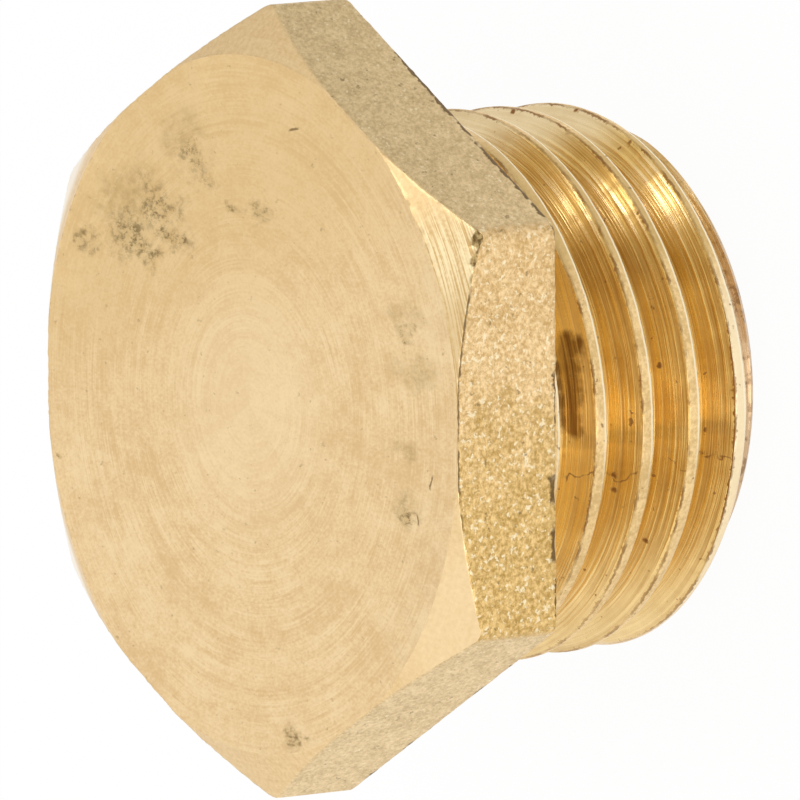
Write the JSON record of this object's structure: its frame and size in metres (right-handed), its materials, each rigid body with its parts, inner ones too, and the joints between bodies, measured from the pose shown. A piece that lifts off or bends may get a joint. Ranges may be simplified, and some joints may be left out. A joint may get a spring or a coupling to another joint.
{
  "type": "hexagon-head screw plug",
  "caption": "Solid brass hexagon-head plug with a chamfered front face and a short male parallel pipe thread, for closing a threaded port.",
  "frame": {"origin": "centre of the flat end of the threaded shank, which the plug stands on", "axes": "+Z along the thread's axis from the shank's end to the head; -Y out of one flat of the hexagon, and +X out of a corner"},
  "size_m": [0.0184, 0.016, 0.0103],
  "materials": {
    "brass": "turned front face, blasted flats and cut thread"
  },
  "bodies": {
    "root": {"plug": "brass"}
  },
  "joints": []
}
